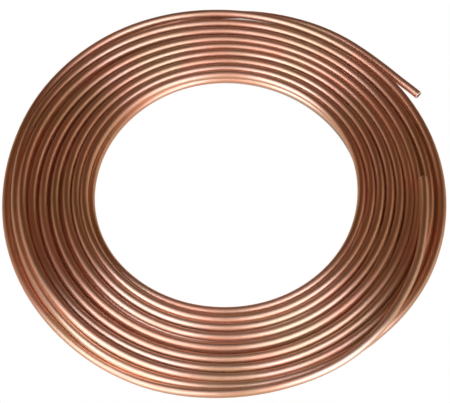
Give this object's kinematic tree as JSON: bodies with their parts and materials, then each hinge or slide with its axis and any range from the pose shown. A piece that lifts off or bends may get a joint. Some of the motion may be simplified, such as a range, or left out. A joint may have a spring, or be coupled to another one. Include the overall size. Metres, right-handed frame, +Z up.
{
  "type": "copper tube coil",
  "caption": "Flat pancake coil of soft bright copper tube wound in layers round an open eye, with a free cut end beside it on the floor and the other lying back over the turns.",
  "frame": {"origin": "the coil's axis where it meets the surface that the coil lies on", "axes": "+Z up along the coil's axis; +X towards the side where the upper free end is cut; the turns of the upper layer widen anticlockwise seen from above"},
  "size_m": [0.3348, 0.3363, 0.0193],
  "materials": {
    "copper": "bright drawn copper with faint brown tarnish in the grooves"
  },
  "bodies": {
    "root": {"copper_tube": "copper"}
  },
  "joints": []
}
